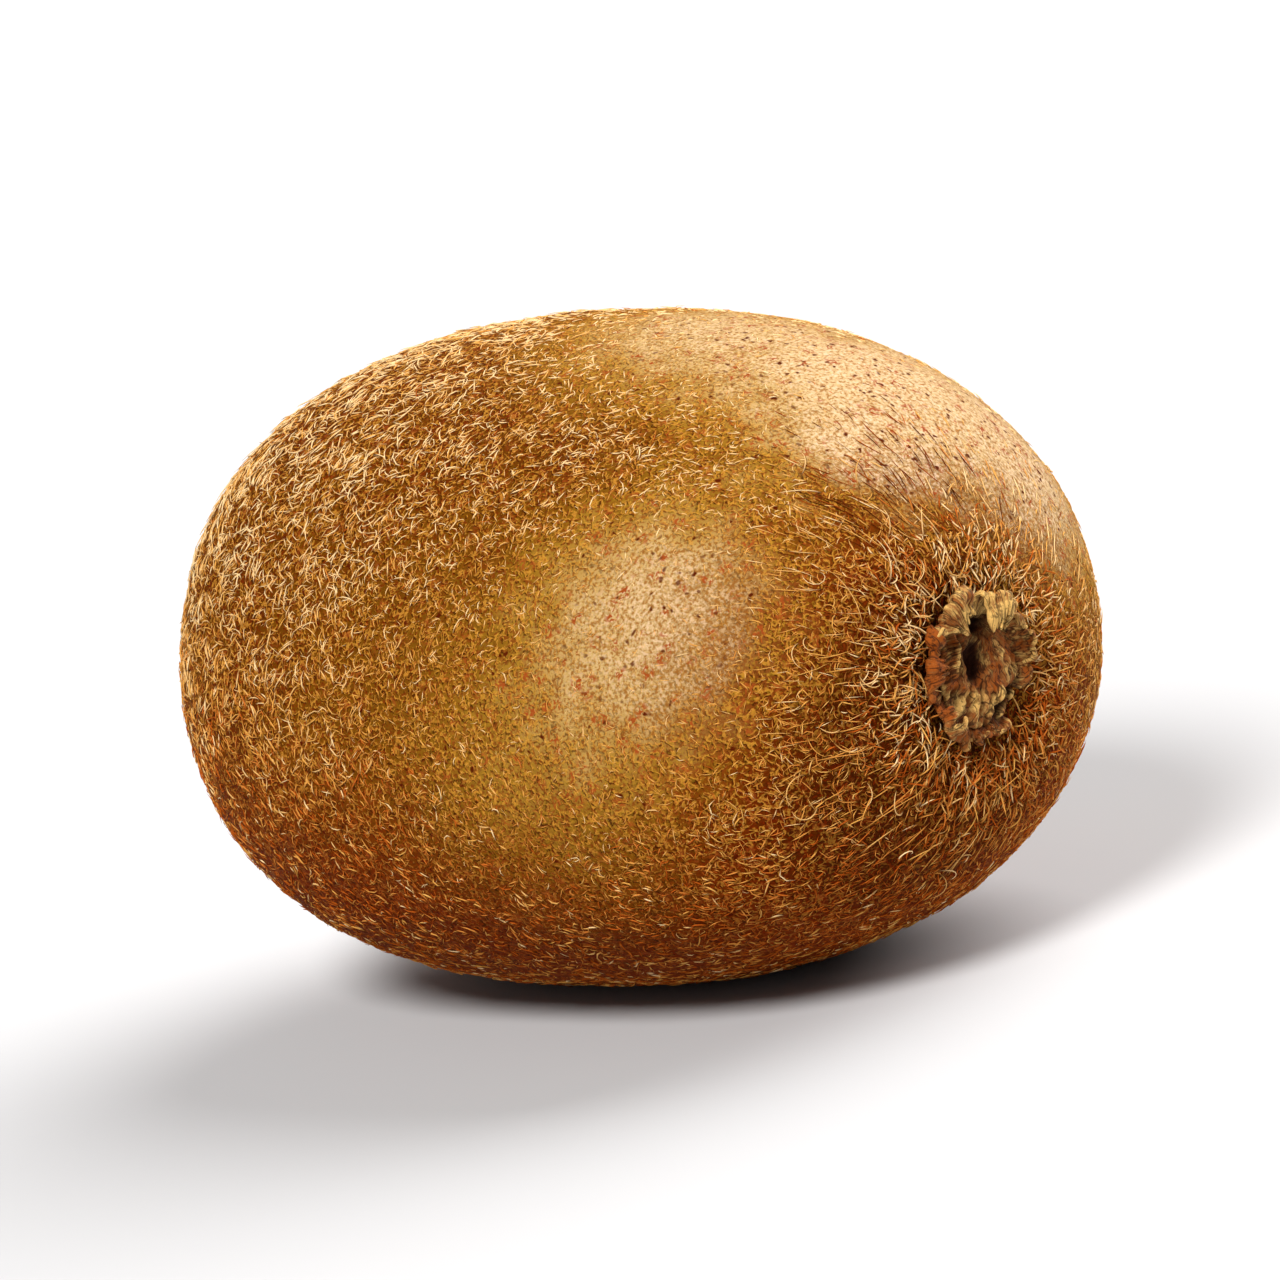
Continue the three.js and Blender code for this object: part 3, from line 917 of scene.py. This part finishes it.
def grow_tuft(ground, settings):
    def wanted(places):
        return ring(places, BLOSSOM_SEAT, 1.6, 2.6, 5, 13)

    roots = ground.draw(settings.tuft, wanted, settings.seed + 3)
    return roots.grow(
        length=roots.lengths(1.35 * settings.whorl_length, 0.3),
        turn=math.pi + roots.about(0, 0.9),
        radius=settings.thickness / 2 * roots.even(0.75, 1.15),
        lift=roots.angles(30, 75),
        settle=roots.angles(-10, 30),
        curl=roots.about(0, 0.8),
        tone=roots.about(0.5, 0.2),
    )


def quarters(name, bunch):
    """The bunch in four parts, by which side of the fruit its roots are on."""
    turn = np.degrees(np.arctan2(bunch.roots[:, 2] - STEM_SEAT.z, bunch.roots[:, 1]))
    which = np.floor(((turn + 45) % 360) / 90).astype(int)
    sides = ("back", "top", "front", "under")
    return {f"{name}_{side}": bunch.part(which == i) for i, side in enumerate(sides)}


class KIWI_OT_hairs(bpy.types.Operator):
    """Grow the fruit's hairs: curled and short ones all over, and longer ones at both ends"""

    bl_idname = "kiwi.hairs"
    bl_label = "Hairs"

    def execute(self, context):
        settings = context.scene.kiwi_hair
        skin = bpy.data.objects.get("kiwi_skin")
        if skin is None:
            raise RuntimeError("make the skin first: the hairs grow on it")
        ground = Ground(skin)
        finish = hair_finish(settings)
        # How many steps each kind of hair bends in, and its bunches by name.
        kinds = (
            (3, quarters("curled_hairs", grow_curls(ground, settings))),
            (2, quarters("short_hairs", grow_down(ground, settings))),
            (4, {"stem_end_hairs": grow_whorl(ground, settings)}),
            (3, {"combed_hairs": grow_combed(ground, settings)}),
            (8, {"loose_hairs": grow_loose(ground, settings)}),
            (4, {"blossom_end_hairs": grow_tuft(ground, settings)}),
        )
        for steps, bunches in kinds:
            hair = Hair(steps)
            for name, bunch in bunches.items():
                finish_piece(hair.copies(name, bunch), finish, "skin")
        return {"FINISHED"}


# ---- Calyx ----

# The scar, as distances from its axis and heights over its seat, in millimetres. Its face is in
# even steps, so that it can be shaped.
SCAR_SECTION = (
    (0.0, 0.3), (1.4, 0.43), (2.7, 0.74), (3.9, 1.12), (3.95, 1.3), (3.8, 1.55), (3.5, 1.62),
    (3.25, 1.64), (3.0, 1.66), (2.75, 1.68), *((2.5 - 0.25 * step, 1.7) for step in range(11)),
)
SCAR_RADIUS = 3.7  # millimetres, where the sepals are rooted

# turn: where a sepal stands, and spread: how far it reaches either way, in degrees. torn: how
# deep the notches in its edge are. hue: from rust, 0, to straw, 1. start: where its waves start.
# The rest are lengths in millimetres.
SEPALS = (
    dict(turn=64, spread=25, reach=1.8, rise=2.2, curl=2.5, wave=0.3, torn=0.15, start=0.4, hue=0.8),
    dict(turn=119, spread=25, reach=2.5, rise=2.0, curl=2.0, wave=0.3, torn=0.1, start=2.1, hue=0.75),
    dict(turn=161, spread=30, reach=2.4, rise=1.6, curl=1.4, wave=0.1, torn=0.1, start=4.0, hue=0.05),
    dict(turn=213, spread=28, reach=2.0, rise=1.5, curl=1.4, wave=0.3, torn=0.3, start=1.2, hue=0.3),
    dict(turn=268, spread=30, reach=1.0, rise=0.9, curl=0.3, wave=0.2, torn=0.4, start=3.1, hue=0.3),
    dict(turn=6, spread=38, reach=1.4, rise=1.5, curl=0.5, wave=0.25, torn=0.6, start=5.3, hue=0.45),
)


def scar_ways(points):
    """How far each point is along the scar's own long way, and how far across it."""
    _, y, z = points.T
    return 0.304 * y + 0.953 * z, 0.953 * y - 0.304 * z


def fan_of(tall, wide):
    """The angle at which a fibre runs, as the fibres fan out below the hollow."""
    return np.arctan2(wide - 0.1, 3.4 - tall)


def mound(reach, steepness=2):
    """1 in the middle, where reach is 0, and about a third where it is 1."""
    return np.exp(-(np.abs(reach) ** steepness))


def scar_rise(points):
    """How far the scar's face stands above or below its section, all in millimetres."""
    tall, wide = scar_ways(points)
    wide = wide + 0.12 * ripples(points, 1.6, 51, 30)
    beside = ease(-1.1, -0.2, tall) * ease(2.7, 1.8, tall)
    # The hollow of the stalk's core, and a groove and a thin torn ridge beside it.
    rise = -1.4 * mound(np.hypot((wide + 0.55) / 0.8, (tall - 0.6) / 1.4), 2.6)
    rise -= 0.8 * beside * mound((wide + 2.15) / 0.35)
    rise += 0.6 * beside * mound((wide + 2.8 + 0.1 * np.sin(2.5 * tall)) / 0.2)
    # A gap under the upper sepals, and another at the lower right.
    rise -= 1.1 * mound(np.hypot((wide + 0.6) / 0.75, (tall - 3.3) / 0.8))
    slot = (wide - 2.8) * 0.87 - (tall + 1.4) * 0.5
    rise -= 1.4 * mound(slot / 0.3) * ease(-0.6, -1.2, tall)
    # Fibres that run down the face and fan out below the hollow.
    fan = fan_of(tall, wide)
    below = ease(-0.6, -1.4, tall)
    fibres = (0.05 + 0.16 * below) * np.sin(26 * fan + 0.8 * tall)
    fibres += (0.03 + 0.1 * below) * np.sin(47 * fan - 2 * tall)
    rise += fibres
    rise += 0.3 * ease(0.3, 1.8, wide) * ease(3.4, 2.6, np.hypot(points[:, 1], points[:, 2]))
    return rise + 0.07 * ripples(points, 0.5, 53, 30) + 0.12 * ripples(points, 1.2, 54, 30)


def sepal_points(u, v, turn, spread, reach, rise, curl, wave, torn, start):
    """A sepal's middle surface in the stem end's frame: u across it, v from root to tip."""
    side = 2 * u - 1
    width = 1 - 0.12 * v - 0.3 * v**4 + 0.05 * np.sin(8 * v + start)
    way = np.radians(turn + spread * side * width)
    notch = torn * np.maximum(np.sin(6 * side + 2 * start + v), 0) ** 4
    along = v * (1 - 0.16 * side**2 * (1 + np.sin(4.6 * side + start)) - notch)
    along -= v**6 * (0.05 * np.sin(21 * side + 3 * start) + 0.04 * np.sin(47 * side + start))
    outward = reach * np.sin(np.pi / 2 * np.minimum(along / (2 / 3), 1))
    inward = curl * (np.maximum(along - 0.45, 0) / 0.55) ** 2
    crumple = wave * v * np.sin(3.4 * side + 2 * v + start)
    height = rise * np.sin(np.pi / 2 * along) - 0.25 * side**2 * v + 1.0
    away = SCAR_RADIUS - 0.1 + outward - inward + crumple
    return np.stack([height + crumple / 2, away * np.cos(way), away * np.sin(way)], 1) * MM


def calyx_finish(settings):
    finish = Finish("dried calyx")
    here = finish.here()
    hue = finish.carried("hue")
    # Fibres that run along each sepal and down the scar.
    across = finish.times(finish.carried("across"), 5.0)
    along = finish.times(finish.carried("along"), 0.7)
    fibres = finish.noise(finish.together(across, along, hue), 1.0, 4, 0.65, 0.3)
    patch = finish.noise(here, 1.3 * MM, 3, 0.6)
    dust = finish.noise(here, 0.35 * MM, 3, 0.6)
    pale = finish.plus(
        hue, finish.fade(patch, 0.3, 0.7, -0.35, 0.35), finish.fade(fibres, 0.3, 0.7, -0.3, 0.3),
        finish.times(finish.carried("frayed"), 0.35),
    )
    finish.colour = finish.ramp(pale, (0.05, settings.rust), (0.5, settings.bark), (1.0, settings.straw))
    # Dark cracks and dust, and painted shade that darkens the deep parts.
    cracks = finish.noise(finish.together(finish.times(across, 0.6), along, 3.0), 1.0, 2, 0.5, 0.15)
    cracks = finish.sum("ABSOLUTE", finish.sum("SUBTRACT", cracks, 0.5))
    finish.coat(finish.fade(cracks, 0.04, 0.012, 0.0, 0.75), settings.soot_and_shade)
    finish.coat(finish.fade(dust, 0.48, 0.34, 0.0, 0.6), settings.soot_and_shade)
    up = finish.vector("DOT_PRODUCT", finish.vector("SUBTRACT", here, STEM_SEAT), OUT_OF_STEM)
    finish.coat(finish.fade(up, 1.75 * MM, 1.0 * MM, 0.0, 0.96), settings.soot_and_shade)
    return finish.shade(
        Roughness=0.7,
        Normal=finish.bump(finish.plus(fibres, finish.times(dust, 0.7)), 0.25 * MM),
        Specular_IOR_Level=0.12,
    )


def make_scar():
    """A section is spun round the stem end's own axis, then shaped as a torn stalk's scar."""
    scar = begin(bpy.ops.mesh.primitive_circle_add, vertices=len(SCAR_SECTION), radius=1.0)
    place_points(scar, [(height * MM, away * MM, 0.0) for away, height in SCAR_SECTION])
    # The section's closing edge would run along the axis.
    edit(scar)
    bpy.ops.mesh.select_all(action="DESELECT")
    bpy.ops.object.mode_set(mode="OBJECT")
    ends = {0, len(SCAR_SECTION) - 1}
    for edge in scar.data.edges:
        edge.select = set(edge.vertices) == ends
    bpy.ops.object.mode_set(mode="EDIT")
    bpy.ops.mesh.select_mode(type="EDGE")
    bpy.ops.mesh.delete(type="EDGE")
    bpy.ops.mesh.select_mode(type="VERT")
    bpy.ops.mesh.select_all(action="SELECT")
    bpy.ops.mesh.spin(steps=72, angle=2 * math.pi, center=(0, 0, 0), axis=(1, 0, 0))
    tidy_normals(scar)
    refine(scar)
    points = points_of(scar) / MM
    rise = scar_rise(points)
    points[:, 0] = np.maximum(points[:, 0] + ease(0.9, 1.3, points[:, 0]) * rise, 0.2)
    place_points(scar, points * MM)
    tall, wide = scar_ways(points)
    carry(
        scar,
        # The scar's raised ridges are paler: their own dry straw, and partly painted highlight.
        hue=0.42 + 0.45 * ease(0.3, 0.6, rise) + 0.3 * ease(-0.8, -1.8, tall),
        across=3 * fan_of(tall, wide),
        along=tall,
        frayed=np.zeros(len(points)),
    )
    scar.matrix_world = STEM_FRAME
    return scar


def make_sepal(settings, hue, start, **shape):
    """A grid is laid on the sepal's middle surface, crumpled, and given its thickness."""
    sepal = begin(bpy.ops.mesh.primitive_grid_add, x_subdivisions=30, y_subdivisions=20, size=1.0)
    u, v, _ = (points_of(sepal) + 0.5).T
    points = sepal_points(u, v, start=start, **shape)
    place_points(sepal, points)
    seed = int(10 * start) + 60
    rough = ripples(points, 1.7 * MM, seed, 30) + 0.6 * ripples(points, 0.8 * MM, seed + 1, 30)
    rough += 0.6 * np.abs(ripples(points, 1.0 * MM, seed + 2, 20))
    veins = 0.35 * np.sin(34 * u + 3 * np.sin(4 * v + start))
    free = ease(0.05, 0.6, v)
    points += normals_of(sepal) * (settings.crumple * (rough * free + veins))[:, None]
    place_points(sepal, points)
    tip = ease(0.85, 1.0, v + 0.05 * rough)
    edges = ease(0.85, 1.0, np.abs(2 * u - 1)) * ease(0.3, 0.7, v)
    carry(sepal, hue=np.full(len(u), hue), across=6 * u, along=3 * v, frayed=np.maximum(tip, edges))
    wall = sepal.modifiers.new("wall", "SOLIDIFY")
    wall.thickness, wall.offset = settings.thickness, 0.0
    refine(sepal)
    tidy_normals(sepal)
    sepal.matrix_world = STEM_FRAME
    return sepal


class KIWI_OT_calyx(bpy.types.Operator):
    """Build the dried calyx: the scar of the stalk, and the torn sepals round it"""

    bl_idname = "kiwi.calyx"
    bl_label = "Calyx"

    def execute(self, context):
        settings = context.scene.kiwi_calyx
        calyx = join([make_scar()] + [make_sepal(settings, **shape) for shape in SEPALS], "dried_calyx")
        finish_piece(calyx, calyx_finish(settings), "calyx", "calyx")
        return {"FINISHED"}


# ---- Style remains ----


def style_finish(settings):
    finish = Finish("dried styles", settings.dark)
    here = finish.here()
    grain = finish.noise(here, 0.5 * MM, 4, 0.65)
    out = finish.vector("DISTANCE", here, BLOSSOM_SEAT)
    finish.coat(finish.fade(out, 1.5 * MM, 4.5 * MM), settings.light)
    finish.coat(finish.fade(grain, 0.4, 0.7, 0.0, 0.7), settings.dark)
    return finish.shade(Roughness=0.8, Normal=finish.bump(grain, 0.15 * MM), Specular_IOR_Level=0.2)


def straight_style(settings):
    """The style that the others are copies of: straight, one unit long and lying along X."""
    style = begin(
        bpy.ops.mesh.primitive_cylinder_add, vertices=8, radius=settings.radius, depth=1.0,
        location=(0.5, 0, 0), rotation=(0, math.pi / 2, 0),
    )
    settle(style)
    cut(style, 10, (1, 0, 0))
    return style


def bend_style(style, index, number, chance):
    """Each style leans out its own way, and is bent, twisted and pinched in its own way."""
    turn = 2 * math.pi * (index + 0.7 * chance.random()) / number
    long = chance.uniform(1.8, 4.0)
    lift = 2.3 - 0.28 * long + 0.3 * chance.random()
    swing = 1.5 * (chance.random() - 0.5)
    along, *section = points_of(style).T
    girth = (1 - 0.45 * along + 0.25 * np.sin(9 * along + index)) * np.where(along > 0.99, 0.55, 1)
    across, up = section[0] * girth, section[1] * girth * 0.8
    way = turn + swing * along**1.6
    away = (0.4 + long * along) * MM
    height = (0.7 + lift * np.sin(np.minimum(1.9 * along, 2.2)) * 0.75) * MM
    height += 0.12 * MM * np.sin(7 * along + index)
    twist = 2.0 * along + index
    side = across * np.cos(twist) - up * np.sin(twist)
    rise = across * np.sin(twist) + up * np.cos(twist)
    place_points(style, np.stack([
        height + rise,
        away * np.cos(way) - side * np.sin(way),
        away * np.sin(way) + side * np.cos(way),
    ], 1))
    style.matrix_world = BLOSSOM_FRAME


def make_knob():
    """The low worn knob that the styles grew from."""
    knob = begin(
        bpy.ops.mesh.primitive_cylinder_add, vertices=24, radius=1.8 * MM, depth=0.9 * MM,
        location=(0.8 * MM, 0, 0), rotation=(0, math.pi / 2, 0),
    )
    settle(knob)
    worn = knob.modifiers.new("worn", "BEVEL")
    worn.width, worn.segments = 0.35 * MM, 3
    refine(knob)
    points = points_of(knob)
    points += normals_of(knob) * (0.12 * MM * ripples(points, 1.1 * MM, 71, 30))[:, None]
    place_points(knob, points)
    tidy_normals(knob)
    knob.matrix_world = BLOSSOM_FRAME
    return knob


class KIWI_OT_styles(bpy.types.Operator):
    """Build the dried styles that stand out of the blossom end, and the knob they grew from"""

    bl_idname = "kiwi.styles"
    bl_label = "Style remains"

    def execute(self, context):
        settings = context.scene.kiwi_styles
        chance = np.random.default_rng(STYLE_SEED)
        straight = straight_style(settings)
        pieces = [make_knob()]
        for index in range(settings.count):
            style = add_object(f"style_{index}", straight.data.copy())
            bend_style(style, index, settings.count, chance)
            pieces.append(style)
        bpy.data.objects.remove(straight)
        styles = join(pieces, "dried_styles")
        finish_piece(styles, style_finish(settings), "styles", "style_remains")
        return {"FINISHED"}


# ---- Stage ----


def way_to(azimuth, elevation):
    """The way from the fruit to what stands on this side of it, at this height."""
    level = math.cos(elevation)
    return Vector((math.sin(azimuth) * level, -math.cos(azimuth) * level, math.sin(elevation)))


def sun(name, azimuth, elevation, power, width, tint):
    """A soft sun that shines from this side of the fruit and this height, in degrees."""
    light = bpy.data.lights.new(name, "SUN")
    light.energy, light.angle, light.color = power, math.radians(width), tint
    lamp = add_object(name, light)
    lamp.location = back = way_to(math.radians(azimuth), math.radians(elevation))
    lamp.rotation_mode = "QUATERNION"
    lamp.rotation_quaternion = back.to_track_quat("Z", "Y")


def make_floor(settings):
    floor = begin(bpy.ops.mesh.primitive_grid_add, x_subdivisions=8, y_subdivisions=8, size=8.0)
    floor.name = floor.data.name = "floor"
    finish = Finish("pale floor", settings.floor)
    paper = finish.noise(finish.here(), 1.2, 2)
    finish.coat(finish.fade(paper, 0.3, 0.7, 0.0, 0.02), (0.8, 0.8, 0.8))
    floor.data.materials.append(finish.shade(Roughness=0.9, Specular_IOR_Level=0.1))


def make_lights(scene, settings):
    scene.world = bpy.data.worlds.new("pale studio")
    scene.world.use_nodes = True
    sky = scene.world.node_tree.nodes["Background"]
    sky.inputs["Color"].default_value = (1.0, 0.985, 0.96, 1.0)
    sky.inputs["Strength"].default_value = settings.sky
    sun("key", 20, 43, settings.key, 20, (1.0, 0.97, 0.93))
    sun("rim", 170, 40, settings.rim, 60, (1.0, 0.96, 0.92))
    scene.view_settings.view_transform = "Standard"


def make_camera(scene, settings):
    scene.camera = camera = add_object("camera", bpy.data.cameras.new("camera"))
    back = way_to(settings.azimuth, settings.elevation)
    camera.rotation_mode = "QUATERNION"
    camera.rotation_quaternion = Quaternion(back, settings.roll) @ back.to_track_quat("Z", "Y")
    camera.location = AIM + back * settings.distance
    camera.data.lens, camera.data.sensor_width = settings.lens, 36.0
    camera.data.clip_start, camera.data.clip_end = 0.01, 50.0


class KIWI_OT_stage(bpy.types.Operator):
    """Set the pale floor, the soft lights and the camera"""

    bl_idname = "kiwi.stage"
    bl_label = "Stage"

    def execute(self, context):
        settings = context.scene.kiwi_stage
        make_floor(settings)
        make_lights(context.scene, settings)
        make_camera(context.scene, settings)
        return {"FINISHED"}


# ---- Panel, registration and making ----

STEPS = {
    "kiwi_skin": (KiwiSkinSettings, KIWI_OT_skin),
    "kiwi_hair": (KiwiHairSettings, KIWI_OT_hairs),
    "kiwi_calyx": (KiwiCalyxSettings, KIWI_OT_calyx),
    "kiwi_styles": (KiwiStyleSettings, KIWI_OT_styles),
    "kiwi_stage": (KiwiStageSettings, KIWI_OT_stage),
}


class KIWI_PT_panel(bpy.types.Panel):
    """The kiwi fruit's pieces and their settings"""

    bl_idname = "KIWI_PT_panel"
    bl_label = "Kiwi fruit"
    bl_space_type = "VIEW_3D"
    bl_region_type = "UI"
    bl_category = "Kiwi fruit"

    def draw(self, context):
        for name, (group, operator) in STEPS.items():
            box = self.layout.box()
            box.operator(operator.bl_idname)
            for prop in group.__annotations__:
                box.prop(getattr(context.scene, name), prop)


def register():
    for name, (group, operator) in STEPS.items():
        bpy.utils.register_class(group)
        setattr(bpy.types.Scene, name, PointerProperty(type=group))
        bpy.utils.register_class(operator)
    bpy.utils.register_class(KIWI_PT_panel)


def unregister():
    bpy.utils.unregister_class(KIWI_PT_panel)
    for name, (group, operator) in reversed(STEPS.items()):
        bpy.utils.unregister_class(operator)
        delattr(bpy.types.Scene, name)
        bpy.utils.unregister_class(group)


def main():
    register()
    bpy.ops.kiwi.skin()
    bpy.ops.kiwi.hairs()
    bpy.ops.kiwi.calyx()
    bpy.ops.kiwi.styles()
    bpy.ops.kiwi.stage()


if __name__ == "__main__":
    main()
